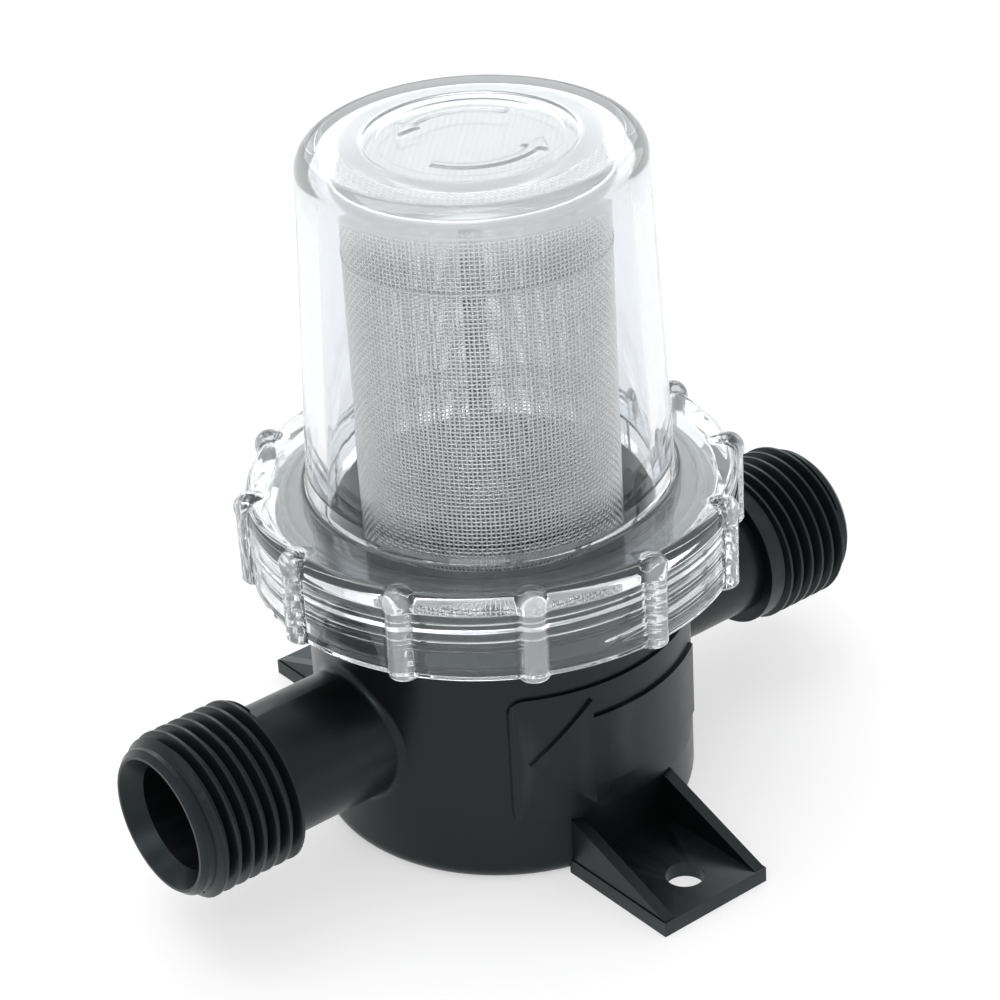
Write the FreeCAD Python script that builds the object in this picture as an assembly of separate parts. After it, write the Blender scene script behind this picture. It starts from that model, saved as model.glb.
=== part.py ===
import FreeCAD, Part
import math
import os

from FreeCAD import Vector as V

# Sea water strainer: a moulded housing with two male threaded ports on one line and
# two fixing lugs, a clear screw-on bowl, a bowl seal and a woven wire screen.
# Millimetres. Z is up. The origin is the centre of the housing's base.
# The ports lie along X (outlet at -X, inlet at +X) and the lugs along Y.

# ---- driving dimensions ------------------------------------------------------
# housing
body_r = 23.6              # outside radius of the pot
base_round = 2.2           # rounding under the pot
floor_t = 3.0              # thickness of the pot's floor
chamber_r = 21.0           # inside radius of the pot
collar_z0 = 31.0           # start of the threaded collar
collar_core_r = 25.9       # root radius of the bowl thread on the collar
rim_z = 40.6               # top of the pot
base_recess_r = 17.0       # shallow recess under the pot
base_recess_t = 0.6

# ports
port_z = 17.1              # height of the port axis
port_len = 51.6            # from the centre to each port's end
neck_r = 8.25              # plain neck between pot and thread
bore_r = 6.75              # waterway
mouth_r = 8.25             # mouth of the internal countersink
mouth_depth = 2.4
tip_r = 8.6                # outer edge of the port's end
thread_r = 10.4            # crest radius, G 1/2 external
thread_core_r = 9.25       # root radius
thread_pitch = 1.814       # 14 turns to the inch
thread_x0 = 37.5           # inner end of the threaded zone
thread_x1 = 50.3           # outer end of the threaded zone
tip_core_x = 50.9          # start of the lead-in chamfer
plain_collar_x0 = 36.9     # plain band behind the inlet thread
plain_collar_x1 = 39.2
plain_collar_r = 9.85
neck_fillet = 1.0

# screen seat inside the pot
turret_r = 15.2            # upright tube that the screen slips over
turret_bore = 13.2
ledge_r = 16.2             # ledge that the screen stands on
ledge_z0 = 24.8
ledge_z = 27.0
turret_top = 31.2
transfer_r = 8.25          # outside of the tube from turret to outlet

# fixing lugs
lug_y = 39.2               # end of each lug
lug_half_w = 8.1
lug_t = 2.0                # base plate
gusset_t = 1.5
gusset_inset = 0.15
gusset_top_z = 8.1         # height of the gussets at the pot
gusset_y = 22.2
lug_hole_r = 2.4
lug_hole_y = 33.65

# flow panel on the -Y side
panel_half_w = 14.2
panel_z0, panel_z1 = 8.8, 26.3
panel_rise = 0.40          # above the pot's side
panel_corner = 1.6
arrow_rise = 0.85          # above the pot's side
arrow_tip_x = -12.55
arrow_barb_x = -5.1
arrow_mid_z = 17.35
arrow_half_h = 7.45
arrow_shaft_half_h = 4.9

# bowl thread (right-handed)
bowl_pitch = 2.4
male_crest_r = 27.0
male_z0, male_z1 = 34.2, 39.9
female_root_r = 27.4
female_crest_r = 26.3
female_z0, female_z1 = 34.7, 39.9

# seal
seal_r = 23.65             # to the centre of the section
seal_section_r = 1.2
seal_z = 39.75
groove_half_w = 1.4
groove_z = 38.4

# bowl
skirt_r = 29.8
skirt_z = 33.2             # lower edge of the skirt
flange_under_z = 41.1
flange_top_z = 44.5
flange_edge_round = 1.3
dome_r_low = 22.3          # outside, at the flange
dome_r_high = 20.5         # outside, below the shoulder
shoulder_z = 83.3
shoulder_round = 4.5
crown_z = 87.8
disc_r_out, disc_r_in = 15.2, 12.9
disc_rise = 0.3
cavity_r_low = 19.9
cavity_r_high = 17.87
cavity_top_z = 85.3
cavity_round = 0.6
rib_count = 12
rib_round = 1.7
rib_centre_r = 29.4
rib_top_z = 43.3
rib_ball_r = 1.9

# woven screen
screen_r = 15.8
screen_t = 0.5
screen_top_z = 83.4
cup_r = 15.24               # it fits inside the tube
cup_t = 0.5
cup_low_z = 75.8
cup_top_z = 84.0


# ---- helpers -----------------------------------------------------------------
def polygon_wire(points):
    points = [V(*p) for p in points]
    return Part.makePolygon(points + [points[0]])


def revolved(profile, about=V(0, 0, 1), base=V(0, 0, 0)):
    """A full turn of a closed wire or face about an axis."""
    face = profile if isinstance(profile, Part.Face) else Part.Face(profile)
    return face.revolve(base, about, 360)


def ring(r_in, r_out, z0, z1):
    outer = Part.makeCylinder(r_out, z1 - z0, V(0, 0, z0))
    return outer.cut(Part.makeCylinder(r_in, z1 - z0 + 2, V(0, 0, z0 - 1)))


def helix_ridge(pitch, r_base, r_crest, w_base, w_crest, z0, z1):
    """A right-handed thread ridge of trapezoid section about Z."""
    helix = Part.makeHelix(pitch, z1 - z0, (r_base + r_crest) / 2.0)
    profile = polygon_wire([
        (r_base, 0, -w_base / 2), (r_crest, 0, -w_crest / 2),
        (r_crest, 0, w_crest / 2), (r_base, 0, w_base / 2)])
    ridge = Part.Wire(helix.Edges).makePipeShell([profile], True, True)
    ridge.translate(V(0, 0, z0))
    return ridge


def rounded_rectangle(x0, x1, z0, z1, r, y):
    """A wire in the plane Y = y."""
    k = r * (1 - math.sqrt(0.5))
    edges = [
        Part.LineSegment(V(x0 + r, y, z0), V(x1 - r, y, z0)).toShape(),
        Part.Arc(V(x1 - r, y, z0), V(x1 - k, y, z0 + k), V(x1, y, z0 + r)).toShape(),
        Part.LineSegment(V(x1, y, z0 + r), V(x1, y, z1 - r)).toShape(),
        Part.Arc(V(x1, y, z1 - r), V(x1 - k, y, z1 - k), V(x1 - r, y, z1)).toShape(),
        Part.LineSegment(V(x1 - r, y, z1), V(x0 + r, y, z1)).toShape(),
        Part.Arc(V(x0 + r, y, z1), V(x0 + k, y, z1 - k), V(x0, y, z1 - r)).toShape(),
        Part.LineSegment(V(x0, y, z1 - r), V(x0, y, z0 + r)).toShape(),
        Part.Arc(V(x0, y, z0 + r), V(x0 + k, y, z0 + k), V(x0 + r, y, z0)).toShape(),
    ]
    return Part.Wire(edges)


# ---- ports -------------------------------------------------------------------
def port_outside(with_collar):
    """One port's outside, standing along +Z from the pot's centre."""
    inner_x = 12.0
    start = plain_collar_x0 if with_collar else thread_x0
    core = [(0, 0, inner_x), (neck_r, 0, inner_x), (neck_r, 0, start)]
    if with_collar:
        core += [(plain_collar_r, 0, start), (plain_collar_r, 0, plain_collar_x1)]
    core += [
        (thread_core_r, 0, plain_collar_x1 if with_collar else start),
        (thread_core_r, 0, tip_core_x), (tip_r, 0, port_len), (0, 0, port_len)]
    solid = revolved(polygon_wire(core))
    z0 = (plain_collar_x1 if with_collar else thread_x0) - 0.6
    ridge = helix_ridge(
        thread_pitch, thread_core_r - 0.15, thread_r + 0.25, 1.70, 0.10,
        z0, thread_x1 + 0.4)
    lead = thread_r - thread_core_r
    bound = revolved(polygon_wire([
        (thread_core_r - 0.4, 0, z0 + 0.6), (thread_r, 0, z0 + 0.6),
        (thread_r, 0, thread_x1 - lead), (thread_core_r, 0, thread_x1),
        (thread_core_r - 0.4, 0, thread_x1)]))
    return solid.fuse(ridge.common(bound))


def port_bore(inner_x):
    return revolved(polygon_wire([
        (0, 0, inner_x), (bore_r, 0, inner_x), (bore_r, 0, port_len - mouth_depth),
        (mouth_r, 0, port_len), (mouth_r + 0.02, 0, port_len + 1), (0, 0, port_len + 1)]))


def lay_along_x(shape, sign):
    """Turn a shape from +Z to +X or -X and lift it to the port axis."""
    shape = shape.copy()
    shape.rotate(V(0, 0, 0), V(0, 1, 0), 90 * sign)
    shape.translate(V(0, 0, port_z))
    return shape


# ---- housing -----------------------------------------------------------------
def pot_blank():
    """The pot without its hollow: base rounding, wall and threaded collar."""
    k = base_round * (1 - math.sqrt(0.5))
    step = collar_core_r - body_r
    edges = [
        Part.LineSegment(V(0, 0, 0), V(body_r - base_round, 0, 0)).toShape(),
        Part.Arc(V(body_r - base_round, 0, 0), V(body_r - k, 0, k),
                 V(body_r, 0, base_round)).toShape(),
    ]
    path = [
        (body_r, 0, base_round), (body_r, 0, collar_z0), (collar_core_r, 0, collar_z0 + step),
        (collar_core_r, 0, rim_z - 0.4), (collar_core_r - 0.4, 0, rim_z), (0, 0, rim_z), (0, 0, 0)]
    edges += [Part.LineSegment(V(*a), V(*b)).toShape() for a, b in zip(path, path[1:])]
    return revolved(Part.Wire(edges))


def lug(side):
    """A base plate with a gusset along each side; side is -1 or +1."""
    plate = Part.makeBox(2 * lug_half_w, lug_y - 21.8, lug_t, V(-lug_half_w, 21.8, 0))
    gusset_out = lug_half_w - gusset_inset
    gussets = []
    for x0 in (-gusset_out, gusset_out - gusset_t):
        side_face = Part.Face(polygon_wire([
            (x0, lug_y - 0.2, lug_t - 0.3), (x0, lug_y - 0.2, lug_t + 0.05),
            (x0, gusset_y, gusset_top_z),
            (x0, 21.5, gusset_top_z), (x0, 21.5, lug_t - 0.3)]))
        gussets.append(side_face.extrude(V(gusset_t, 0, 0)))
    shape = plate.fuse(gussets)
    if side < 0:
        shape = shape.mirror(V(0, 0, 0), V(0, 1, 0))
    return shape


blank = pot_blank()
outside = blank.fuse([
    lay_along_x(port_outside(False), -1),
    lay_along_x(port_outside(True), 1),
    lug(-1), lug(1)])

# the fillets where the necks meet the pot
neck_edges = []
for e in outside.Edges:
    b = e.BoundBox
    if (abs(abs(b.Center.x) - 23.0) < 1.2 and abs(b.ZMin - (port_z - neck_r)) < 0.3
            and abs(b.ZMax - (port_z + neck_r)) < 0.3 and b.XLength < 3):
        neck_edges.append(e)
if neck_edges:
    outside = outside.makeFillet(neck_fillet, neck_edges)

# the chamber, the screen seat, the passage to the outlet and the inlet's way in
chamber = Part.makeCylinder(chamber_r, rim_z, V(0, 0, floor_t))
turret = revolved(polygon_wire([
    (0, 0, floor_t - 0.5), (turret_r, 0, floor_t - 0.5), (turret_r, 0, ledge_z0 - 1.0),
    (ledge_r, 0, ledge_z0), (ledge_r, 0, ledge_z), (turret_r, 0, ledge_z),
    (turret_r, 0, turret_top - 0.6), (turret_r - 0.6, 0, turret_top), (0, 0, turret_top)]))
transfer = Part.makeCylinder(
    transfer_r, chamber_r + 0.5, V(0, 0, port_z), V(-1, 0, 0))
inside = turret.fuse(transfer)
body = outside.cut(chamber).fuse(inside)
turret_hollow = Part.makeCylinder(turret_bore, rim_z, V(0, 0, floor_t + 2.0))
seal_groove = ring(seal_r - groove_half_w, seal_r + groove_half_w, groove_z, rim_z + 1)
base_recess = Part.makeCylinder(base_recess_r, base_recess_t + 1, V(0, 0, -1))
body = body.cut([
    turret_hollow, seal_groove, base_recess,
    lay_along_x(port_bore(5.0), -1),
    lay_along_x(port_bore(chamber_r - 2.5), 1)])

# lug holes
for side in (-1, 1):
    body = body.cut(Part.makeCylinder(lug_hole_r, 6, V(0, side * lug_hole_y, -1)))

# the raised flow panel and the arrow raised on it
panel = Part.Face(rounded_rectangle(
    -panel_half_w, panel_half_w, panel_z0, panel_z1, panel_corner, 0)).extrude(V(0, -30, 0))
arrow = Part.Face(polygon_wire([
    (arrow_tip_x, 0, arrow_mid_z), (arrow_barb_x, 0, arrow_mid_z + arrow_half_h),
    (arrow_barb_x, 0, arrow_mid_z + arrow_shaft_half_h),
    (panel_half_w, 0, arrow_mid_z + arrow_shaft_half_h),
    (panel_half_w, 0, arrow_mid_z - arrow_shaft_half_h),
    (arrow_barb_x, 0, arrow_mid_z - arrow_shaft_half_h),
    (arrow_barb_x, 0, arrow_mid_z - arrow_half_h)])).extrude(V(0, -30, 0))
body = body.fuse(panel.common(ring(body_r - 0.5, body_r + panel_rise, 4, 30)))
body = body.fuse(arrow.common(ring(body_r - 0.5, body_r + arrow_rise, 4, 30)))

# the bowl thread on the collar
male = helix_ridge(
    bowl_pitch, collar_core_r - 0.2, male_crest_r, 1.40, 0.50, male_z0, male_z1)
male = male.common(revolved(polygon_wire([
    (collar_core_r - 0.25, 0, male_z0 - 0.4), (male_crest_r + 0.1, 0, male_z0 + 0.2),
    (male_crest_r + 0.1, 0, male_z1 - 0.4), (collar_core_r - 0.25, 0, male_z1 + 0.5)])))
body = body.fuse(male)

# ---- clear bowl --------------------------------------------------------------
def arc_through(centre, r, a0, a1):
    """An arc in the XZ plane from angle a0 to a1, in degrees."""
    def at(a):
        return V(centre[0] + r * math.cos(math.radians(a)), 0,
                 centre[1] + r * math.sin(math.radians(a)))
    return Part.Arc(at(a0), at((a0 + a1) / 2.0), at(a1)).toShape()


def chain(points_and_arcs):
    """A closed wire from points and arcs given in order."""
    edges, first, last = [], None, None
    for item in points_and_arcs:
        if isinstance(item, tuple):
            point = V(item[0], 0, item[1])
            if last is not None and last.distanceToPoint(point) > 1e-6:
                edges.append(Part.LineSegment(last, point).toShape())
            last = point
            first = first or point
        else:
            start = item.valueAt(item.FirstParameter)
            end = item.valueAt(item.LastParameter)
            if last is not None and last.distanceToPoint(start) > 1e-6:
                edges.append(Part.LineSegment(last, start).toShape())
            first = first or start
            edges.append(item)
            last = end
    if last.distanceToPoint(first) > 1e-6:
        edges.append(Part.LineSegment(last, first).toShape())
    return Part.Wire(edges)


foot_r = 0.9               # fillet between flange and dome
dome_outer = chain([
    (0, flange_under_z),
    (female_root_r, flange_under_z),
    (female_root_r, skirt_z + 0.5),
    (female_root_r + 0.5, skirt_z),
    (skirt_r - 0.3, skirt_z),
    (skirt_r, skirt_z + 0.3),
    arc_through((skirt_r - flange_edge_round, flange_top_z - flange_edge_round),
                flange_edge_round, 0, 90),
    arc_through((dome_r_low + foot_r, flange_top_z + foot_r), foot_r, 270, 180),
    (dome_r_high, shoulder_z),
    arc_through((dome_r_high - shoulder_round, shoulder_z), shoulder_round, 0, 90),
    (disc_r_out, crown_z),
    (disc_r_in, crown_z + disc_rise),
    (0, crown_z + disc_rise),
])
bowl = revolved(dome_outer)
cavity = chain([
    (0, flange_under_z - 1.0),
    (cavity_r_low + 0.6, flange_under_z - 1.0),
    (cavity_r_low + 0.6, flange_under_z),
    (cavity_r_low, flange_under_z + 0.6),
    (cavity_r_high, cavity_top_z - cavity_round),
    arc_through((cavity_r_high - cavity_round, cavity_top_z - cavity_round),
                cavity_round, 0, 90),
    (0, cavity_top_z),
])
bowl = bowl.cut(revolved(cavity))
for i in range(rib_count):
    a = math.radians(i * 360.0 / rib_count)
    cx, cy = rib_centre_r * math.cos(a), rib_centre_r * math.sin(a)
    rod = Part.makeCylinder(rib_round, rib_top_z - skirt_z, V(cx, cy, skirt_z))
    ball = Part.makeSphere(rib_ball_r, V(cx, cy, rib_top_z))
    rib = rod.fuse(ball).cut(Part.makeCylinder(female_root_r + 0.9, 30, V(0, 0, 25)))
    bowl = bowl.fuse(rib)
female = helix_ridge(
    bowl_pitch, female_root_r + 0.2, female_crest_r, 1.40, 0.50, female_z0, female_z1)
# set half a pitch from the collar's ridge, so that each ridge runs in the other's groove
female_phase = 360.0 * ((male_z0 + bowl_pitch / 2.0) - female_z0) / bowl_pitch
female.rotate(V(0, 0, 0), V(0, 0, 1), -female_phase)
female = female.common(revolved(polygon_wire([
    (female_root_r + 0.25, 0, female_z0 - 0.6), (female_root_r + 0.25, 0, female_z1 + 0.6),
    (female_crest_r - 0.1, 0, female_z1 - 0.2), (female_crest_r - 0.1, 0, female_z0 + 0.2)])))
bowl = bowl.fuse(female)

# ---- seal --------------------------------------------------------------------
seal = Part.makeTorus(seal_r, seal_section_r, V(0, 0, seal_z))

# ---- woven screen ------------------------------------------------------------
screen = ring(screen_r - screen_t, screen_r, ledge_z + 0.02, screen_top_z)
cup = Part.makeCylinder(cup_r, cup_top_z - cup_low_z, V(0, 0, cup_low_z)).cut(
    Part.makeCylinder(cup_r - cup_t, cup_top_z - cup_t - cup_low_z + 1, V(0, 0, cup_low_z - 1)))
cup_edges = [e for e in cup.Edges
             if abs(e.BoundBox.ZMin - cup_top_z) < 1e-6 and e.Length > 50]
cup = cup.makeFillet(0.45, cup_edges)

# ---- export ------------------------------------------------------------------
os.makedirs("parts", exist_ok=True)
pieces = {
    "body": body,
    "clear_bowl": bowl,
    "bowl_o_ring": seal,
    "screen_cylinder": screen,
    "screen_end_cap": cup,
}
for name, shape in pieces.items():
    if len(shape.Solids) == 1:
        shape = shape.Solids[0]
    print(name, "valid", shape.isValid(), "solids", len(shape.Solids),
          "volume mm3", round(shape.Volume, 1))
    shape.exportStep(os.path.join("parts", name + ".step"))
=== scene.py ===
import math

import bpy
import numpy as np
from mathutils import Matrix, Vector


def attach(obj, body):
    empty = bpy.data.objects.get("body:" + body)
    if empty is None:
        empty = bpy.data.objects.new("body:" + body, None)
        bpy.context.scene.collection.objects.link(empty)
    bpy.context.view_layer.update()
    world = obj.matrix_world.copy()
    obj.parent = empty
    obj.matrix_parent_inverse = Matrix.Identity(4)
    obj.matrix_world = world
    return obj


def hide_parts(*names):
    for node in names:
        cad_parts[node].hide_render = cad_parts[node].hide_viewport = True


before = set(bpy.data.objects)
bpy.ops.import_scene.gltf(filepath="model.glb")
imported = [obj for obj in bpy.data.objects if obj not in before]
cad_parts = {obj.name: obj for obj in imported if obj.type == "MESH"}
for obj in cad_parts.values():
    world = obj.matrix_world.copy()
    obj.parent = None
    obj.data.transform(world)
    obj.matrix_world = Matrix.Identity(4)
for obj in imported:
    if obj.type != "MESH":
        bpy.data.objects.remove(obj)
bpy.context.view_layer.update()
MM = 0.001
scene = bpy.context.scene

# ------------------------------------------------------------------ camera
# millimetres in the part's frame
CAM_AT = (-203.74, -268.74, 235.11)
AZ, EL, ROLL = -37.323, 30.063, -3.42
FOCAL = 115.612


def make_camera():
    a, e, r = (math.radians(x) for x in (AZ, EL, ROLL))
    back = Vector((math.sin(a) * math.cos(e), -math.cos(a) * math.cos(e), math.sin(e)))
    right = Vector((math.cos(a), math.sin(a), 0))
    up = back.cross(right)
    right2 = right * math.cos(r) + up * math.sin(r)
    up2 = -right * math.sin(r) + up * math.cos(r)
    cam = bpy.data.objects.new("camera", bpy.data.cameras.new("camera"))
    cam.data.sensor_width = 36.0
    cam.data.lens = FOCAL
    cam.data.clip_start, cam.data.clip_end = 0.01, 20.0
    m = Matrix((right2, up2, back)).transposed().to_4x4()
    m.translation = Vector(CAM_AT) * MM
    cam.matrix_world = m
    scene.collection.objects.link(cam)
    scene.camera = cam
    return cam


make_camera()


# ------------------------------------------------------------------ helpers
def mesh_object(name, verts_mm, faces, smooth=True):
    """A mesh piece from vertices in millimetres."""
    me = bpy.data.meshes.new(name)
    me.from_pydata((np.asarray(verts_mm, float) * MM).tolist(), [], faces)
    me.validate()
    me.update()
    if smooth:
        me.shade_smooth()
    ob = bpy.data.objects.new(name, me)
    scene.collection.objects.link(ob)
    return ob


def nodes_of(mat):
    mat.use_nodes = True
    nt = mat.node_tree
    nt.nodes.clear()
    return nt


def add(nt, kind, **values):
    """A node with attributes and input values set by name."""
    n = nt.nodes.new(kind)
    for key, v in values.items():
        if hasattr(n, key) and key not in n.inputs:
            setattr(n, key, v)
        else:
            n.inputs[key].default_value = v
    return n


def ramp(nt, fac, stops):
    n = nt.nodes.new("ShaderNodeValToRGB")
    while len(n.color_ramp.elements) > 2:
        n.color_ramp.elements.remove(n.color_ramp.elements[-1])
    for i, (pos, v) in enumerate(stops):
        el = n.color_ramp.elements[i] if i < 2 else n.color_ramp.elements.new(pos)
        el.position = pos
        el.color = (v, v, v, 1) if not hasattr(v, "__len__") else (*v, 1)
    nt.links.new(fac, n.inputs["Fac"])
    return n.outputs["Color"]


def times(nt, value, k):
    n = add(nt, "ShaderNodeMath", operation="MULTIPLY")
    nt.links.new(value, n.inputs[0])
    n.inputs[1].default_value = k
    return n.outputs[0]


def remap(nt, value):
    """From -1..1 to 0..1."""
    n = add(nt, "ShaderNodeMapRange")
    n.inputs["From Min"].default_value = -1.0
    n.inputs["From Max"].default_value = 1.0
    nt.links.new(value, n.inputs["Value"])
    return n.outputs["Result"]


def set_material(ob, mat):
    ob.data.materials.clear()
    ob.data.materials.append(mat)


# ------------------------------------------------------------------ profile tools
def rounded_polyline(points, step=0.6, arc_step=8.0):
    """Points (r, z, radius) joined by straight runs with rounded corners, finely sampled.
    A point may carry a fourth value, the sampling step of the run that ends at it."""
    out = []
    n = len(points)
    pts = [np.array(p[:2], float) for p in points]
    rad = [p[2] if len(p) > 2 else 0.0 for p in points]
    steps = [p[3] if len(p) > 3 else step for p in points]
    ends = []
    for i in range(n):
        if i in (0, n - 1) or rad[i] <= 0:
            ends.append((pts[i], pts[i], None))
            continue
        u = pts[i - 1] - pts[i]
        v = pts[i + 1] - pts[i]
        lu, lv = np.linalg.norm(u), np.linalg.norm(v)
        u, v = u / lu, v / lv
        half = math.acos(np.clip(u @ v, -1, 1)) / 2
        if half > math.radians(88.5):
            ends.append((pts[i], pts[i], None))
            continue
        t = rad[i] / math.tan(half)
        t = min(t, 0.48 * lu, 0.48 * lv)
        r = t * math.tan(half)
        c = pts[i] + (u + v) / np.linalg.norm(u + v) * (r / math.sin(half))
        ends.append((pts[i] + u * t, pts[i] + v * t, (c, r)))
    for i in range(n):
        a, b, arc = ends[i]
        if arc is None:
            arc_pts = [a]
        else:
            c, r = arc
            a0 = math.atan2(*(a - c)[::-1])
            a1 = math.atan2(*(b - c)[::-1])
            d = (a1 - a0 + math.pi) % (2 * math.pi) - math.pi
            k = max(2, int(abs(math.degrees(d)) / arc_step))
            arc_pts = [c + r * np.array([math.cos(a0 + d * j / k), math.sin(a0 + d * j / k)])
                       for j in range(k + 1)]
        if out:
            p, q = out[-1], arc_pts[0]
            run = np.linalg.norm(q - p)
            k = max(1, int(run / steps[i]))
            at = [run * j / k for j in range(1, k)]
            if run > 0.5:      # close rows beside each corner keep its shading out of the straight
                at += [0.1, run - 0.1]
            out += [p + (q - p) * d / run for d in sorted(at)]
        out += arc_pts
    clean = [out[0]]
    for p in out[1:]:
        if np.linalg.norm(p - clean[-1]) > 1e-4:
            clean.append(p)
    return np.array(clean)


def profile_normals(p):
    t = np.gradient(p, axis=0)
    t /= np.linalg.norm(t, axis=1)[:, None]
    return np.stack([t[:, 1] * -1, t[:, 0]], 1) * -1


def grid_faces(rows, cols, first=0, wrap=True):
    i = np.arange(rows - 1)[:, None] * cols
    j = np.arange(cols if wrap else cols - 1)[None, :]
    j2 = (j + 1) % cols
    a, b, c, d = i + j, i + j2, i + cols + j2, i + cols + j
    return (np.stack([a, b, c, d], -1).reshape(-1, 4) + first).tolist()


def smoothstep(a, b, x):
    t = np.clip((x - a) / (b - a), 0, 1)
    return t * t * (3 - 2 * t)


# ------------------------------------------------------------------ clear bowl
SKIRT_R, SKIRT_Z = 29.8, 33.2
ROOT_R, CREST_R = 27.4, 26.3
RIB_R, RIB_C, RIB_TOP, BALL_R = 1.7, 29.4, 43.3, 1.9
PITCH = 2.4


def bowl_columns():
    """Angles round the bowl, close together at each of the twelve grips."""
    near = np.linspace(-4.6, 4.6, 17)
    far = np.linspace(4.6, 25.4, 11)[1:-1]
    one = np.concatenate([near, far])
    return np.radians(np.concatenate([one + 30 * i for i in range(12)]))


def arrow_relief(x, y):
    """Height of the two raised turning arrows on the crown: arcs with a head."""
    r = np.hypot(x, y)
    h = np.zeros_like(x)
    for start in (200.0, 20.0):
        ang = (np.degrees(np.arctan2(y, x)) - start) % 360
        rc, w, length = 8.2, 0.55, 92.0
        shaft = smoothstep(w + 0.16, w - 0.02, np.abs(r - rc)) * \
            smoothstep(-1.2, 0.2, ang) * smoothstep(length + 0.5, length - 0.5, ang)
        s = (ang - length) / 21.0
        half = 1.75 * (1 - s)
        head = smoothstep(0.12, -0.12, np.abs(r - rc) - half) * \
            smoothstep(-0.03, 0.02, s) * smoothstep(1.0, 0.97, s)
        h = np.maximum(h, np.maximum(shaft, head))
    return h


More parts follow.
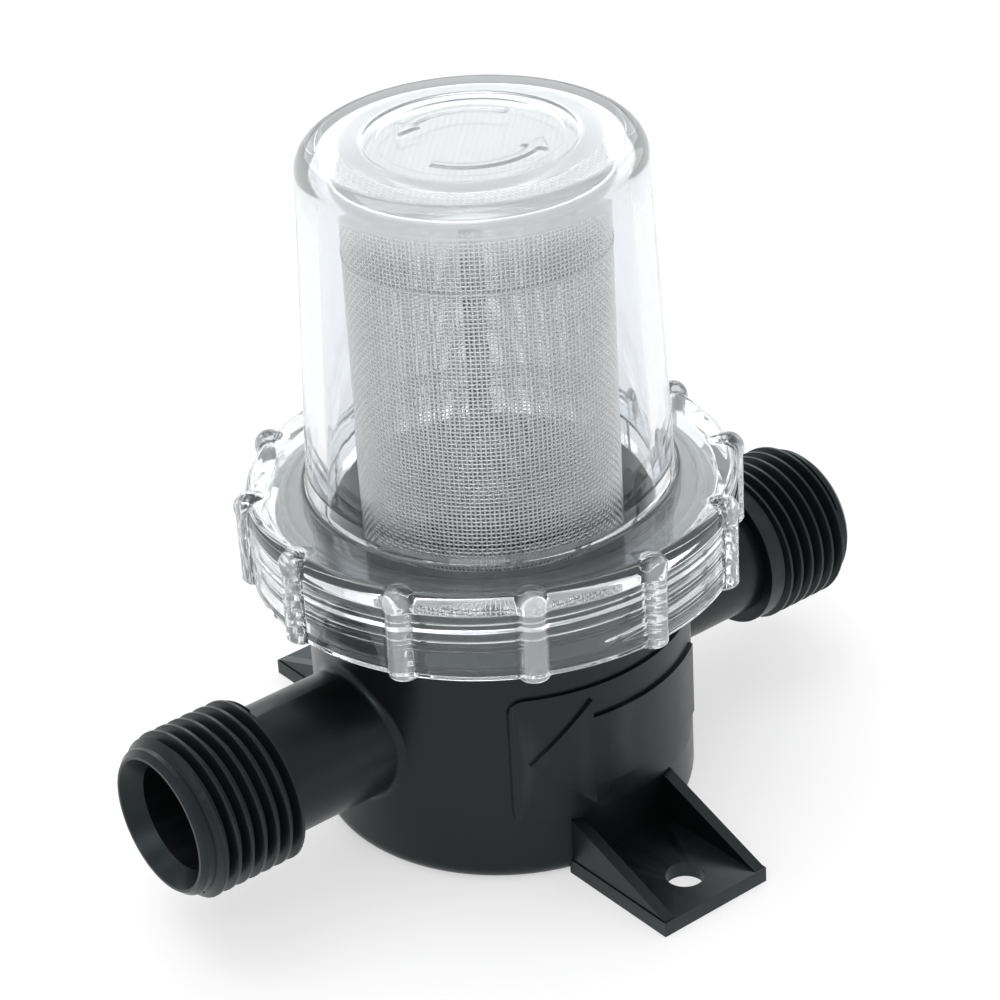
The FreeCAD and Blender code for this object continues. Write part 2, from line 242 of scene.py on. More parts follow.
def make_bowl():
    outer = rounded_polyline([
        (0.35, 87.86), (5.6, 87.86, 0, 0.6), (10.7, 87.86, 0, 0.22), (10.95, 87.94, 0, 0.1), (12.35, 87.94, 0, 0.22),
        (12.6, 88.08, 0, 0.1), (13.0, 88.08, 0.15), (15.2, 87.80, 0.12),
        (20.29, 87.8, 4.5, 0.6), (22.3, 44.5, 0.9, 2.0),
        (29.8, 44.5, 1.3, 0.9), (29.8, 33.2, 0.35, 1.0), (28.05, 33.2, 0.3, 0.7)],
        arc_step=6.0)
    inner = rounded_polyline([
        (28.05, 33.2), (27.4, 33.85, 0.25), (27.4, 41.1, 0.3, 0.13), (20.5, 41.1, 0.2, 0.8),
        (19.9, 41.7, 0.3), (17.84, 85.3, 0.6, 2.0), (0.35, 85.3, 0, 1.4)], arc_step=8.0)
    th = bowl_columns()
    n_out = len(outer)
    prof = np.concatenate([outer, inner[1:]])
    nrm = profile_normals(prof)
    if nrm[0, 1] < 0:
        nrm = -nrm
    cos, sin = np.cos(th)[None], np.sin(th)[None]
    r = np.repeat(prof[:, :1], len(th), 1)
    z = np.repeat(prof[:, 1:], len(th), 1)
    # grips: push the outer skirt out along its normal to a rod with a ball end
    dth = (np.degrees(th) + 15) % 30 - 15
    dth = np.radians(dth)[None]
    cx, cy = RIB_C * np.cos(dth), -RIB_C * np.sin(dth)
    rows = np.arange(n_out)[:, None]
    nr, nz = nrm[:n_out, :1].copy(), nrm[:n_out, 1:].copy()
    low = prof[:n_out, 1:] < SKIRT_Z + 0.6
    nr[low], nz[low] = 1.0, 0.0
    pr, pz = r[:n_out], z[:n_out]
    # rod
    ox, oy = pr - cx, -cy
    b = ox * nr
    disc = b * b - nr * nr * (ox * ox + oy * oy - RIB_R ** 2)
    with np.errstate(divide="ignore", invalid="ignore"):
        t_rod = (-b + np.sqrt(np.maximum(disc, 0))) / np.maximum(nr * nr, 1e-9)
    zhit = pz + nz * t_rod
    ok = (disc > 0) & (nr > 0.25) & (zhit < RIB_TOP)
    t_rod = np.where(ok, t_rod, 0)
    # ball
    oz = pz - RIB_TOP
    b = ox * nr + oz * nz
    c = ox * ox + oy * oy + oz * oz - BALL_R ** 2
    disc = b * b - c
    t_ball = np.where(disc > 0, -b + np.sqrt(np.maximum(disc, 0)), 0)
    t_ball = np.where(pr > 26.5, t_ball, 0)
    t = np.maximum(t_rod, t_ball)
    t = np.clip(t, 0, 2.4)
    k = 0.10
    t = 0.5 * (t + np.sqrt(t * t + k * k)) - k / 2 * (t <= 0)
    t = np.where(t < 0.002, 0, t)
    t = t * (pr > 26.5)
    # the rod's foot: closes in to the skirt's lower edge
    foot = smoothstep(SKIRT_Z - 0.02, SKIRT_Z + 0.30, pz)
    foot = np.where(low, 0.86 + 0.14 * foot, 1.0)
    edge = (pr < 29.3) & (pz < SKIRT_Z + 0.3)
    t = np.where(edge, 0, t * foot)
    r[:n_out] += nr * t
    z[:n_out] += nz * t
    # thread inside the skirt
    deg = np.degrees(th)[None]
    zi, ri = z[n_out:], r[n_out:]
    h = np.zeros_like(zi)
    for turn in range(-1, 4):
        u = deg % 360 + 105.0 + 360.0 * turn
        zc = 34.7 + PITCH * u / 360.0
        d = np.abs(zi - zc)
        ridge = np.clip((0.70 - d) / 0.45, 0, 1)
        ridge = ridge * smoothstep(0, 14, u) * smoothstep(780, 766, u)
        h = np.maximum(h, ridge)
    inside = (np.abs(ri - ROOT_R) < 0.02)
    h = h * inside * smoothstep(34.0, 34.4, zi) * smoothstep(40.7, 40.3, zi)
    r[n_out:] -= h * (ROOT_R - CREST_R)
    # raised arrows on the crown
    x, y = r * cos, r * sin
    crown = (prof[:n_out, 1:] > 87.8) & (prof[:n_out, :1] < 10.8)
    z[:n_out] += np.where(crown, arrow_relief(x[:n_out], y[:n_out]) * 0.20, 0)
    verts = np.stack([x, y, z], -1).reshape(-1, 3)
    rows_n, cols = r.shape
    faces = grid_faces(rows_n, cols)
    top = len(verts)
    verts = np.concatenate([verts, [[0, 0, 87.86], [0, 0, 85.3]]])
    last = (rows_n - 1) * cols
    faces += [[top, (j + 1) % cols, j] for j in range(cols)]
    faces += [[top + 1, last + j, last + (j + 1) % cols] for j in range(cols)]
    ob = mesh_object("bowl_clear", verts, faces)
    import bmesh
    bm = bmesh.new()
    bm.from_mesh(ob.data)
    bmesh.ops.recalc_face_normals(bm, faces=bm.faces)
    if bm.calc_volume(signed=True) < 0:
        bmesh.ops.reverse_faces(bm, faces=bm.faces)
    bm.to_mesh(ob.data)
    print("bowl faces", len(bm.faces), "volume mm3", round(bm.calc_volume() * 1e9, 1))
    bm.free()
    return ob


# ------------------------------------------------------------------ woven screen
def tubes(paths, e1, e2, radius, sides, closed):
    """Round wires along paths (n, m, 3), with frames e1 and e2 of the same shape."""
    n, m, _ = paths.shape
    a = 2 * math.pi * (np.arange(sides) + 0.5) / sides
    ring = (paths[:, :, None, :]
            + radius * np.cos(a)[None, None, :, None] * e1[:, :, None, :]
            + radius * np.sin(a)[None, None, :, None] * e2[:, :, None, :])
    verts = ring.reshape(-1, 3)
    w = np.arange(n)[:, None, None] * (m * sides)
    seg = np.arange(m if closed else m - 1)[None, :, None]
    seg2 = (seg + 1) % m
    s = np.arange(sides)[None, None, :]
    s2 = (s + 1) % sides
    f = np.stack([w + seg * sides + s, w + seg * sides + s2,
                  w + seg2 * sides + s2, w + seg2 * sides + s], -1).reshape(-1, 4)
    faces = f.tolist()
    if not closed:
        for k in range(n):
            b = k * m * sides
            faces.append([b + i for i in range(sides)][::-1])
            faces.append([b + (m - 1) * sides + i for i in range(sides)])
    if np.dot(np.cross(e1[0, 0], e2[0, 0]), paths[0, 1] - paths[0, 0]) < 0:
        faces = [q[::-1] for q in faces]       # faces look outwards
    return verts, faces


def wobble(theta, z, seed, amp):
    """A smooth unevenness over the cloth, in millimetres."""
    rng = np.random.default_rng(seed)
    out = np.zeros(np.broadcast(theta, z).shape)
    for _ in range(9):
        kt = rng.integers(1, 9)
        kz = rng.uniform(0.02, 0.35)
        out = out + rng.uniform(0.3, 1) * np.sin(kt * theta + kz * z + rng.uniform(0, 6.3)) / (1 + 0.25 * kt)
    return amp * out / 2.2


WIRE = 0.112               # wire radius
SCREEN_R = 15.62           # to the cloth's middle
WARPS, WEFTS = 182, 108
SCREEN_Z0, SCREEN_Z1 = 27.15, 83.0


def cloth_tube(name, radius, warps, wefts, z0, z1, seed, sides, ang0=0.0, ang1=2 * math.pi,
               wave=1.0, over=0, warp_tail=0.0):
    """Plain weave on a cylinder or on part of one: upright wires and hoops that cross over and under."""
    full = abs(ang1 - ang0 - 2 * math.pi) < 1e-6
    amp = WIRE * 0.97
    kk = np.arange(warps)
    th = ang0 + (ang1 - ang0) * (kk + (0 if full else 0.5)) / warps
    zz = z0 + (z1 - z0) * (np.arange(wefts) + 0.5) / wefts
    T, Z = np.meshgrid(th, zz, indexing="ij")
    sign = np.where((kk[:, None] + np.arange(wefts)[None] + over) % 2 == 0, 1.0, -1.0)
    dr = wobble(T, Z, seed, 0.03 * wave)
    dt = wobble(T, Z, seed + 1, 0.04 * wave) / radius
    dz = wobble(T, Z, seed + 2, 0.08 * wave)
    fine = np.random.default_rng(seed + 3)
    dt = dt + fine.normal(0, 0.006, T.shape) / radius + fine.normal(0, 0.010, (warps, 1)) / radius
    dz = dz + fine.normal(0, 0.005, T.shape) + fine.normal(0, 0.010, (1, wefts))
    Tt, Zz = T + dt, Z + dz

    def place(t, z, r):
        return np.stack([r * np.cos(t), r * np.sin(t), z], -1)

    # upright wires, with a short free tail at each end
    Rw = radius + dr + amp * sign
    pw = place(Tt, Zz, Rw)
    ends0 = place(Tt[:, :1], np.full((warps, 1), z0 - warp_tail), radius + dr[:, :1] + 0.25 * amp * sign[:, :1])
    ends1 = place(Tt[:, -1:], np.full((warps, 1), z1), radius + dr[:, -1:] + 0.25 * amp * sign[:, -1:])
    pw = np.concatenate([ends0, pw, ends1], 1)
    tw = np.concatenate([Tt[:, :1], Tt, Tt[:, -1:]], 1)
    e1 = np.stack([np.cos(tw), np.sin(tw), 0 * tw], -1)
    e2 = np.stack([-np.sin(tw), np.cos(tw), 0 * tw], -1)
    v1, f1 = tubes(pw, e1, e2, WIRE, sides, False)
    # hoops
    Rh = radius + dr - amp * sign
    ph = place(Tt, Zz, Rh).transpose(1, 0, 2)
    e1 = np.stack([np.cos(Tt), np.sin(Tt), 0 * Tt], -1).transpose(1, 0, 2)
    e2 = np.zeros_like(e1)
    e2[..., 2] = 1
    v2, f2 = tubes(ph, e1, e2, WIRE, sides, full)
    return (v1, f1), (v2, f2)


def join_parts(parts):
    verts, faces, base = [], [], 0
    for v, f in parts:
        verts.append(v)
        faces += [[i + base for i in q] for q in f]
        base += len(v)
    return np.concatenate(verts), faces


SEAM_DEG = 55.9
SEAM_W = 11.8


def make_screen():
    (v1, f1), (v2, f2) = cloth_tube("s", SCREEN_R, WARPS, WEFTS, SCREEN_Z0, SCREEN_Z1, 11, 5)
    up = mesh_object("screen_upright_wires", v1, f1)
    hoop = mesh_object("screen_hoop_wires", v2, f2)
    a0 = math.radians(SEAM_DEG - SEAM_W / 2)
    a1 = math.radians(SEAM_DEG + SEAM_W / 2)
    parts = cloth_tube("lap", SCREEN_R + 0.46, 5, 108, SCREEN_Z0, SCREEN_Z1 + 0.5, 31, 5, a0, a1, wave=0.8, over=1)
    lap = mesh_object("screen_lap_seam", *join_parts(parts))
    return [up, hoop, lap, make_frays(), make_solder_painted_shade()]


def make_solder_painted_shade():
    """The filler run into the lap, a thin uneven band between the two layers of cloth, coloured dark as painted
    shade of the double lap.
    """
    zs = np.arange(SCREEN_Z0 + 0.3, SCREEN_Z1 - 0.2, 0.5)
    ts = np.radians(np.linspace(SEAM_DEG - SEAM_W / 2 + 0.6, SEAM_DEG + SEAM_W / 2 - 0.6, 15))
    Z, T = np.meshgrid(zs, ts, indexing="ij")
    mid, half = ts.mean(), (ts[-1] - ts[0]) / 2
    T = mid + (T - mid) * (1 + 0.07 * np.sin(1.7 * Z) + 0.05 * np.sin(0.61 * Z + 1.0))
    skin = 0.05 * (1 - ((T - mid) / (half * 1.15)) ** 2)
    sheets = []
    for side in (1.0, -1.0):
        R = SCREEN_R + 0.235 + side * skin + wobble(T, Z, 61, 0.012)
        sheets.append(np.stack([R * np.cos(T), R * np.sin(T), Z], -1).reshape(-1, 3))
    rows, cols = Z.shape
    n = rows * cols
    faces = grid_faces(rows, cols, 0, False) + [f[::-1] for f in grid_faces(rows, cols, n, False)]
    border = [j for j in range(cols)] + [i * cols + cols - 1 for i in range(1, rows)] + \
        [(rows - 1) * cols + j for j in range(cols - 2, -1, -1)] + [i * cols for i in range(rows - 2, 0, -1)]
    for p, q in zip(border, border[1:] + border[:1]):
        faces.append([q, p, p + n, q + n])
    return mesh_object("screen_seam_filler", np.concatenate(sheets), faces)


def make_cup():
    """The end cap: a round of the same cloth with its rim turned down inside the tube."""
    zlo, zhi = 75.95, 83.2
    rr = 15.02
    parts = list(cloth_tube("c", rr, 176, 14, zlo, zhi, 51, 5, wave=0.3, over=1))
    # the turned-down rim ends in a row of cut wire ends, folded into a bright edge
    th = np.linspace(0, 2 * math.pi, 4 * WARPS + 1)[:-1]
    rim = np.stack([(rr + 0.17) * np.cos(th), (rr + 0.17) * np.sin(th),
                    zlo - 0.02 + 0.05 * np.sin(5 * th + 1.0)], -1)[None]
    e1 = np.stack([np.cos(th), np.sin(th), 0 * th], -1)[None]
    e2 = np.zeros_like(e1)
    e2[..., 2] = 1
    parts_rim = [tubes(rim, e1, e2, 0.17, 6, True)]
    # the cap's cut ends come out between the hoops, one at each upright wire
    rs = np.random.default_rng(19)
    for k in range(WARPS):
        a = 2 * math.pi * (k + 0.5) / WARPS + rs.normal(0, 0.0012)
        zc = zlo - 0.02 + rs.normal(0, 0.03)
        tip = SCREEN_R + 0.14 + rs.normal(0, 0.03)
        pts = np.array([[q * math.cos(a), q * math.sin(a), zc + dz]
                        for q, dz in ((rr + 0.1, 0.02), (SCREEN_R - 0.05, 0.0), (tip, -0.05), (tip + 0.07, -0.07))])
        ea = np.tile([-math.sin(a), math.cos(a), 0.0], (4, 1))
        eb = np.tile([0.0, 0.0, 1.0], (4, 1))
        parts_rim.append(tubes(pts[None], ea[None], eb[None], 0.115, 6, False))
    # and a fine tie wire round the outside holds them
    tie = rim.copy()
    tie_r = SCREEN_R + 0.25 + 0.03 * np.cos(WARPS * th)
    tie[..., 0], tie[..., 1] = tie_r * np.cos(th), tie_r * np.sin(th)
    parts_rim.append(tubes(tie, e1, e2, 0.09, 6, True))
    edge = mesh_object("screen_cup_rim", *join_parts(parts_rim))
    # flat round of cloth on top, its edge rolled over to meet the rim
    amp = WIRE * 0.97
    pitch = 0.535
    reach = 15.10
    n = int(reach / pitch)
    zt = 83.66
    flat = []
    rng = np.random.default_rng(77)
    for axis in (0, 1):
        for i in range(-n, n + 1):
            c = i * pitch
            half = math.sqrt(max(reach ** 2 - c * c, 0))
            k = int(half / pitch)
            js = np.arange(-k, k + 1)
            sgn = np.where((js + i) % 2 == 0, 1.0, -1.0) * (1 if axis == 0 else -1)
            s = js * pitch
            zz = zt + amp * sgn + rng.normal(0, 0.01, len(js))
            cc = c + rng.normal(0, 0.015) + 0 * s
            if axis == 0:
                p = np.stack([s, cc, zz], -1)
                ea = np.tile([0.0, 1.0, 0.0], (len(js), 1))
            else:
                p = np.stack([cc, s, zz], -1)
                ea = np.tile([1.0, 0.0, 0.0], (len(js), 1))
            # turn the ends down
            rad = np.hypot(p[:, 0], p[:, 1])
            p[:, 2] -= smoothstep(13.9, 15.15, rad) * 0.42
            eb = np.tile([0.0, 0.0, 1.0], (len(js), 1))
            if len(js) > 1:
                flat.append(tubes(p[None], ea[None], eb[None], WIRE, 4, False))
    cup = mesh_object("screen_cup_side", *join_parts(parts))
    top = mesh_object("screen_cup_top", *join_parts(flat))
    return [cup, top, edge]


def make_frays():
    """Cut wire ends that stand out of the cloth's top edge."""
    rng = np.random.default_rng(5)
    parts = []
    for k in range(WARPS):
        th = 2 * math.pi * (k + 0.0) / WARPS + rng.normal(0, 0.004)
        length = rng.uniform(0.12, 0.55)
        lean = rng.normal(0, 0.10)
        rr = SCREEN_R + rng.normal(0, 0.03)
        pts, e1s, e2s = [], [], []
        for t in (0.0, 0.5, 1.0):
            a = th + lean * t * length / rr
            r = rr - 0.18 * t * t * rng.uniform(0.2, 1.4)
            pts.append((r * math.cos(a), r * math.sin(a), SCREEN_Z1 + t * length))
            e1s.append((math.cos(a), math.sin(a), 0))
            e2s.append((-math.sin(a), math.cos(a), 0))
        parts.append(tubes(np.array(pts)[None], np.array(e1s)[None], np.array(e2s)[None], WIRE, 5, False))
    return mesh_object("screen_cut_wire_ends", *join_parts(parts))


# ------------------------------------------------------------------ materials
def black_plastic():
    mat = bpy.data.materials.new("black_moulded_plastic")
    nt = nodes_of(mat)
    L = nt.links.new
    out = nt.nodes.new("ShaderNodeOutputMaterial")
    bsdf = add(nt, "ShaderNodeBsdfPrincipled")
    bsdf.inputs["IOR"].default_value = 1.5
    bsdf.inputs["Specular IOR Level"].default_value = 0.32
    bsdf.inputs["Specular Tint"].default_value = (0.80, 0.95, 1.0, 1)
    tc = nt.nodes.new("ShaderNodeTexCoord")
    co = tc.outputs["Object"]
    blot = add(nt, "ShaderNodeTexNoise", Scale=95.0, Detail=5.0, Roughness=0.6)
    grain = add(nt, "ShaderNodeTexNoise", Scale=2600.0, Detail=2.0, Roughness=0.5)
    haze = add(nt, "ShaderNodeTexNoise", Scale=320.0, Detail=6.0, Roughness=0.65)
    for n in (blot, grain, haze):
        L(co, n.inputs["Vector"])
    col = ramp(nt, blot.outputs["Fac"], [(0.30, (0.0020, 0.0024, 0.0026)), (0.72, (0.0036, 0.0042, 0.0045))])
    # thin scuffs
    geo = nt.nodes.new("ShaderNodeNewGeometry")
    wave = add(nt, "ShaderNodeTexNoise", Scale=700.0, Detail=8.0, Roughness=0.7)
    mapn = nt.nodes.new("ShaderNodeMapping")
    mapn.inputs["Scale"].default_value = (1.0, 0.22, 0.10)
    mapn.inputs["Rotation"].default_value = (0.3, 0.5, 0.2)
    L(co, mapn.inputs["Vector"])
    L(mapn.outputs["Vector"], wave.inputs["Vector"])
    scuff = ramp(nt, wave.outputs["Fac"], [(0.62, 0.0), (0.72, 1.0)])
    # worn edges, paler
    worn = ramp(nt, geo.outputs["Pointiness"], [(0.535, 0.0), (0.60, 1.0)])
    mix_f = add(nt, "ShaderNodeMath", operation="MULTIPLY")
    L(worn, mix_f.inputs[0])
    L(haze.outputs["Fac"], mix_f.inputs[1])
    mix = add(nt, "ShaderNodeMix", data_type="RGBA")
    L(mix_f.outputs[0], mix.inputs["Factor"])
    L(col, mix.inputs["A"])
    mix.inputs["B"].default_value = (0.030, 0.033, 0.036, 1)
    L(mix.outputs["Result"], bsdf.inputs["Base Color"])
    rough = ramp(nt, haze.outputs["Fac"], [(0.30, 0.27), (0.75, 0.37)])
    rmix = add(nt, "ShaderNodeMath", operation="MULTIPLY_ADD")
    L(scuff, rmix.inputs[0])
    rmix.inputs[1].default_value = 0.10
    L(rough, rmix.inputs[2])
    L(rmix.outputs[0], bsdf.inputs["Roughness"])
    bump = add(nt, "ShaderNodeBump", Strength=0.10, Distance=0.00005)
    L(grain.outputs["Fac"], bump.inputs["Height"])
    bump2 = add(nt, "ShaderNodeBump", Strength=0.18, Distance=0.00022)
    L(blot.outputs["Fac"], bump2.inputs["Height"])
    L(bump.outputs["Normal"], bump2.inputs["Normal"])
    L(bump2.outputs["Normal"], bsdf.inputs["Normal"])
    L(bsdf.outputs["BSDF"], out.inputs["Surface"])
    return mat


def clear_plastic():
    mat = bpy.data.materials.new("clear_moulded_plastic")
    nt = nodes_of(mat)
    L = nt.links.new
    out = nt.nodes.new("ShaderNodeOutputMaterial")
    bsdf = add(nt, "ShaderNodeBsdfPrincipled")
    bsdf.inputs["Base Color"].default_value = (0.865, 0.885, 0.905, 1)
    bsdf.inputs["IOR"].default_value = 1.53
    bsdf.inputs["Specular Tint"].default_value = (0.90, 0.98, 1.0, 1)
    tc = nt.nodes.new("ShaderNodeTexCoord")
    co = tc.outputs["Object"]
    flow = add(nt, "ShaderNodeTexNoise", Scale=60.0, Detail=3.0, Roughness=0.5)
    dust = add(nt, "ShaderNodeTexNoise", Scale=1500.0, Detail=4.0, Roughness=0.7)
    for n in (flow, dust):
        L(co, n.inputs["Vector"])
    rough = ramp(nt, dust.outputs["Fac"], [(0.45, 0.012), (0.78, 0.060)])
    # the mould's matt ring round the crown
    xyz = add(nt, "ShaderNodeSeparateXYZ")
    L(co, xyz.inputs[0])
    flat = add(nt, "ShaderNodeCombineXYZ")
    L(xyz.outputs["X"], flat.inputs["X"])
    L(xyz.outputs["Y"], flat.inputs["Y"])
    rad = add(nt, "ShaderNodeVectorMath", operation="LENGTH")
    L(flat.outputs["Vector"], rad.inputs[0])
    band = ramp(nt, times(nt, rad.outputs["Value"], 50.0),
                [(0.646, 0.0), (0.652, 1.0), (0.756, 1.0), (0.762, 0.0)])
    high = ramp(nt, times(nt, xyz.outputs["Z"], 10.0), [(0.874, 0.0), (0.876, 1.0)])
    # the grips and the shoulder are faintly milky, the rest is clear
    shoulder = ramp(nt, times(nt, xyz.outputs["Z"], 10.0), [(0.80, 1.0), (0.845, 0.87)])
    grips = ramp(nt, times(nt, rad.outputs["Value"], 25.0), [(0.7478, 0.990), (0.764, 0.72)])
    foot = ramp(nt, times(nt, xyz.outputs["Z"], 10.0), [(0.45, 0.985), (0.47, 1.0)])
    upper = add(nt, "ShaderNodeMath", operation="MULTIPLY")
    L(shoulder, upper.inputs[0])
    L(foot, upper.inputs[1])
    clear = add(nt, "ShaderNodeMath", operation="MULTIPLY")
    L(upper.outputs[0], clear.inputs[0])
    L(grips, clear.inputs[1])
    outer = ramp(nt, times(nt, rad.outputs["Value"], 25.0), [(0.455, 0.0), (0.490, 1.0)])
    top = ramp(nt, times(nt, xyz.outputs["Z"], 10.0), [(0.815, 0.0), (0.845, 0.18)])
    edge = add(nt, "ShaderNodeMath", operation="MULTIPLY")
    L(outer, edge.inputs[0])
    L(top, edge.inputs[1])
    rest = add(nt, "ShaderNodeMath", operation="SUBTRACT")
    rest.inputs[0].default_value = 1.0
    L(edge.outputs[0], rest.inputs[1])
    whole = add(nt, "ShaderNodeMath", operation="MULTIPLY")
    L(clear.outputs[0], whole.inputs[0])
    L(rest.outputs[0], whole.inputs[1])
    L(whole.outputs[0], bsdf.inputs["Transmission Weight"])
    matt = add(nt, "ShaderNodeMath", operation="MULTIPLY")
    L(band, matt.inputs[0])
    L(high, matt.inputs[1])
    disc = ramp(nt, times(nt, rad.outputs["Value"], 50.0), [(0.600, 0.13), (0.640, 0.0)])
    soft = add(nt, "ShaderNodeMath", operation="MULTIPLY")
    L(disc, soft.inputs[0])
    L(high, soft.inputs[1])
    total = add(nt, "ShaderNodeMath", operation="MULTIPLY_ADD")
    L(matt.outputs[0], total.inputs[0])
    total.inputs[1].default_value = 0.30
    L(rough, total.inputs[2])
    total2 = add(nt, "ShaderNodeMath", operation="ADD")
    L(total.outputs[0], total2.inputs[0])
    L(soft.outputs[0], total2.inputs[1])
    L(total2.outputs[0], bsdf.inputs["Roughness"])
    bump = add(nt, "ShaderNodeBump", Strength=0.05, Distance=0.0004)
    L(flow.outputs["Fac"], bump.inputs["Height"])
    L(bump.outputs["Normal"], bsdf.inputs["Normal"])
    L(bsdf.outputs["BSDF"], out.inputs["Surface"])
    return mat


def steel_cloth(name="stainless_wire", metallic=0.92):
    mat = bpy.data.materials.new(name)
    nt = nodes_of(mat)
    L = nt.links.new
    out = nt.nodes.new("ShaderNodeOutputMaterial")
    bsdf = add(nt, "ShaderNodeBsdfPrincipled")
    bsdf.inputs["Metallic"].default_value = metallic
    tc = nt.nodes.new("ShaderNodeTexCoord")
    co = tc.outputs["Object"]
    tint = add(nt, "ShaderNodeTexNoise", Scale=130.0, Detail=4.0, Roughness=0.6)
    fine = add(nt, "ShaderNodeTexNoise", Scale=2500.0, Detail=3.0, Roughness=0.6)
    for n in (tint, fine):
        L(co, n.inputs["Vector"])
    col = ramp(nt, tint.outputs["Fac"], [(0.30, (0.90, 0.885, 0.870)), (0.70, (0.97, 0.960, 0.945))])
    L(col, bsdf.inputs["Base Color"])
    rough = ramp(nt, fine.outputs["Fac"], [(0.35, 0.36), (0.70, 0.52)])
    L(rough, bsdf.inputs["Roughness"])
    bump = add(nt, "ShaderNodeBump", Strength=0.12, Distance=0.00002)
    L(fine.outputs["Fac"], bump.inputs["Height"])
    L(bump.outputs["Normal"], bsdf.inputs["Normal"])
    L(bsdf.outputs["BSDF"], out.inputs["Surface"])
    return mat


def seal_rubber():
    mat = bpy.data.materials.new("seal_rubber")
    nt = nodes_of(mat)
    L = nt.links.new
    out = nt.nodes.new("ShaderNodeOutputMaterial")
    bsdf = add(nt, "ShaderNodeBsdfPrincipled")
    tc = nt.nodes.new("ShaderNodeTexCoord")
    n1 = add(nt, "ShaderNodeTexNoise", Scale=900.0, Detail=4.0, Roughness=0.6)
    L(tc.outputs["Object"], n1.inputs["Vector"])
    L(ramp(nt, n1.outputs["Fac"], [(0.3, (0.010, 0.010, 0.011)), (0.7, (0.022, 0.022, 0.023))]),
      bsdf.inputs["Base Color"])
    L(ramp(nt, n1.outputs["Fac"], [(0.3, 0.42), (0.7, 0.6)]), bsdf.inputs["Roughness"])
    bump = add(nt, "ShaderNodeBump", Strength=0.2, Distance=0.00003)
    L(n1.outputs["Fac"], bump.inputs["Height"])
    L(bump.outputs["Normal"], bsdf.inputs["Normal"])
    L(bsdf.outputs["BSDF"], out.inputs["Surface"])
    return mat


def rim_steel():
    """The cap's cut rim, bright and fused."""
    mat = bpy.data.materials.new("bright_rim")
    nt = nodes_of(mat)
    L = nt.links.new
    out = nt.nodes.new("ShaderNodeOutputMaterial")
    bsdf = add(nt, "ShaderNodeBsdfPrincipled")
    bsdf.inputs["Metallic"].default_value = 0.35
    tc = nt.nodes.new("ShaderNodeTexCoord")
    n1 = add(nt, "ShaderNodeTexNoise", Scale=1400.0, Detail=3.0, Roughness=0.6)
    L(tc.outputs["Object"], n1.inputs["Vector"])
    L(ramp(nt, n1.outputs["Fac"], [(0.3, (0.90, 0.89, 0.87)), (0.7, (0.98, 0.98, 0.97))]), bsdf.inputs["Base Color"])
    L(ramp(nt, n1.outputs["Fac"], [(0.3, 0.25), (0.7, 0.42)]), bsdf.inputs["Roughness"])
    bump = add(nt, "ShaderNodeBump", Strength=0.3, Distance=0.00004)
    L(n1.outputs["Fac"], bump.inputs["Height"])
    L(bump.outputs["Normal"], bsdf.inputs["Normal"])
    L(bsdf.outputs["BSDF"], out.inputs["Surface"])
    return mat


M_BLACK, M_CLEAR, M_STEEL, M_SEAL = black_plastic(), clear_plastic(), steel_cloth(), seal_rubber()
M_RIM = rim_steel()
M_CAP = steel_cloth("stainless_cap_wire", 0.12)


def filler_metal_painted_shade():
    """Dull grey filler with darker patches; its dark grey is painted shade of the double lap seam."""
    mat = bpy.data.materials.new("seam_filler_painted_shade")
    nt = nodes_of(mat)
    L = nt.links.new
    out = nt.nodes.new("ShaderNodeOutputMaterial")
    bsdf = add(nt, "ShaderNodeBsdfPrincipled")
    bsdf.inputs["Metallic"].default_value = 0.6
    tc = nt.nodes.new("ShaderNodeTexCoord")
    n1 = add(nt, "ShaderNodeTexNoise", Scale=420.0, Detail=5.0, Roughness=0.65)
    L(tc.outputs["Object"], n1.inputs["Vector"])
    # painted shade: the filler's dark greys stand in for the shade behind the double lap of cloth
    L(ramp(nt, n1.outputs["Fac"], [(0.3, (0.030, 0.036, 0.038)), (0.7, (0.14, 0.15, 0.155))]), bsdf.inputs["Base Color"])
    L(ramp(nt, n1.outputs["Fac"], [(0.3, 0.40), (0.7, 0.60)]), bsdf.inputs["Roughness"])
    bump = add(nt, "ShaderNodeBump", Strength=0.4, Distance=0.00008)
    L(n1.outputs["Fac"], bump.inputs["Height"])
    L(bump.outputs["Normal"], bsdf.inputs["Normal"])
    L(bsdf.outputs["BSDF"], out.inputs["Surface"])
    return mat


M_FILL_SHADE = filler_metal_painted_shade()

# ------------------------------------------------------------------ pieces
set_material(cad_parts["body"], M_BLACK)
set_material(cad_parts["bowl_o_ring"], M_SEAL)

bowl = make_bowl()
set_material(bowl, M_CLEAR)
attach(bowl, "bowl")
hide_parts("clear_bowl")

for piece in make_screen():
    # the seam filler's dark material is painted shade
    set_material(piece, M_FILL_SHADE if piece.name == "screen_seam_filler" else M_STEEL)
    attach(piece, "housing")
    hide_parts("screen_cylinder")
for piece in make_cup():
    set_material(piece, M_RIM if piece.name == "screen_cup_rim" else M_CAP)
    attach(piece, "housing")
    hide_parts("screen_end_cap")


# ------------------------------------------------------------------ stage and light
def make_floor():
    s = 1500.0
    ob = mesh_object("floor", [(-s, -s, 0), (s, -s, 0), (s, s, 0), (-s, s, 0)], [[0, 1, 2, 3]], False)
    mat = bpy.data.materials.new("floor_paper")
    nt = nodes_of(mat)
    out = nt.nodes.new("ShaderNodeOutputMaterial")
    bsdf = add(nt, "ShaderNodeBsdfPrincipled", Roughness=0.9)
    bsdf.inputs["Base Color"].default_value = (0.42, 0.42, 0.42, 1)
    bsdf.inputs["Specular IOR Level"].default_value = 0.0
    # a lit table top, which fills the shadows
    bsdf.inputs["Emission Color"].default_value = (1.0, 1.0, 1.0, 1)
    bsdf.inputs["Emission Strength"].default_value = 0.52
    nt.links.new(bsdf.outputs["BSDF"], out.inputs["Surface"])
    set_material(ob, mat)


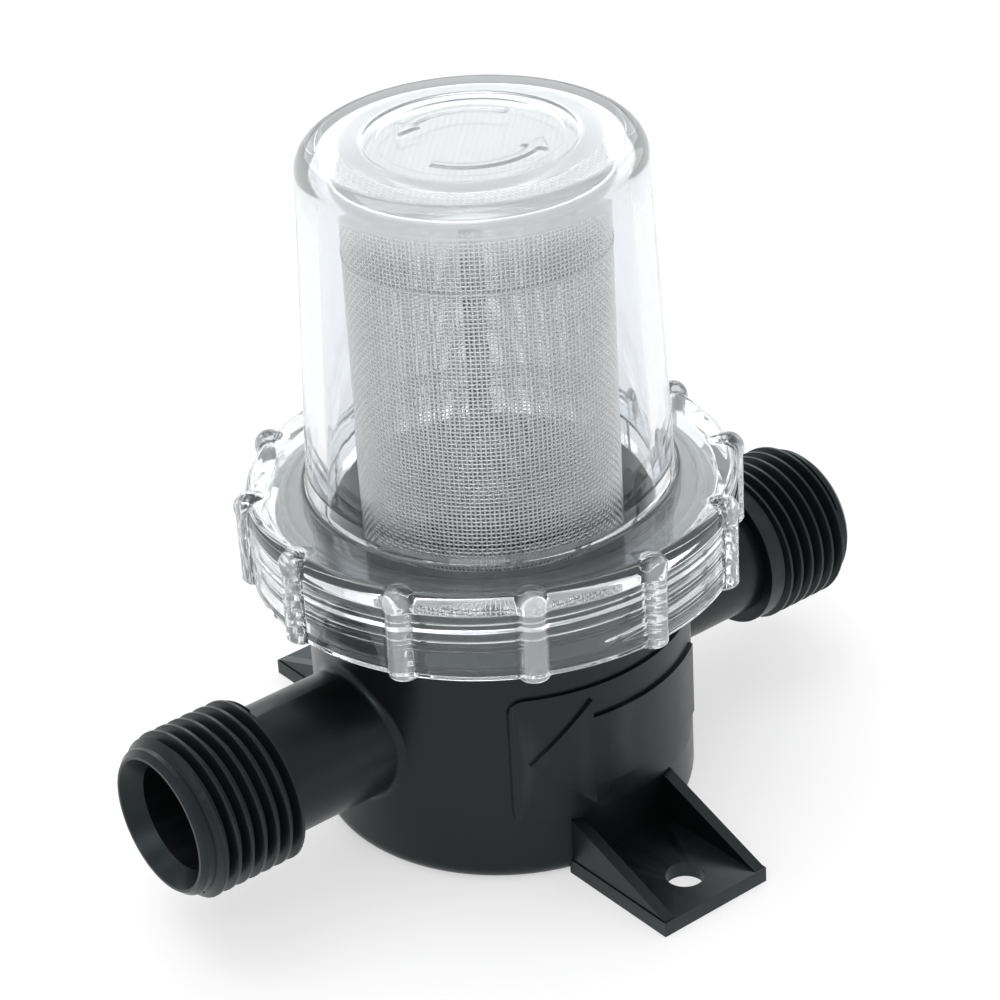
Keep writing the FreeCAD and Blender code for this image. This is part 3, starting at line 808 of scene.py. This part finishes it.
def area(name, at, look, size, power, size_y=None, color=(1, 1, 1)):
    data = bpy.data.lights.new(name, "AREA")
    data.shape = "RECTANGLE"
    data.size, data.size_y = size, size_y or size
    data.energy = power
    data.color = color
    ob = bpy.data.objects.new(name, data)
    ob.location = Vector(at)
    ob.rotation_mode = "QUATERNION"
    ob.rotation_quaternion = (Vector(look) - Vector(at)).to_track_quat("-Z", "Y")
    scene.collection.objects.link(ob)
    return ob


def make_world():
    """A white tent that is open, and so darker, on the side the camera stands."""
    w = bpy.data.worlds.new("studio")
    scene.world = w
    w.use_nodes = True
    nt = w.node_tree
    nt.nodes.clear()
    L = nt.links.new
    out = nt.nodes.new("ShaderNodeOutputWorld")
    bg = nt.nodes.new("ShaderNodeBackground")
    tc = nt.nodes.new("ShaderNodeTexCoord")
    a = math.radians(AZ)
    side = add(nt, "ShaderNodeVectorMath", operation="DOT_PRODUCT")
    L(tc.outputs["Generated"], side.inputs[0])
    side.inputs[1].default_value = (-math.sin(a), math.cos(a), 0)
    fwd = ramp(nt, remap(nt, side.outputs["Value"]), [(0.02, 0.88), (0.40, 0.86), (0.72, 0.95), (0.95, 1.0)])
    top = add(nt, "ShaderNodeVectorMath", operation="DOT_PRODUCT")
    L(tc.outputs["Generated"], top.inputs[0])
    top.inputs[1].default_value = (0, 0, 1)
    sky = ramp(nt, remap(nt, top.outputs["Value"]), [(0.55, 0.0), (0.92, 1.0)])
    mix = add(nt, "ShaderNodeMix", data_type="RGBA")
    L(sky, mix.inputs["Factor"])
    L(fwd, mix.inputs["A"])
    mix.inputs["B"].default_value = (1.0, 1.0, 1.0, 1)
    L(mix.outputs["Result"], bg.inputs["Color"])
    bg.inputs["Strength"].default_value = 0.95
    L(bg.outputs["Background"], out.inputs["Surface"])


make_floor()
make_world()
area("key", (-0.10, 0.20, 0.80), (0, 0, 0.03), 0.60, 2.2)
area("back", (0.47, 0.62, 0.54), (0, 0, 0.088), 0.85, 1.8, 0.45)
area("right", (0.70, 0.00, 0.30), (0, 0, 0.03), 0.40, 0.5)
area("front", (-0.50, -0.45, 0.75), (0, 0, 0.06), 0.50, 2.0)
scene.view_settings.view_transform = "Standard"
scene.cycles.max_bounces = 18
scene.cycles.transmission_bounces = 16
scene.cycles.transparent_max_bounces = 8
scene.cycles.glossy_bounces = 5
scene.cycles.diffuse_bounces = 3
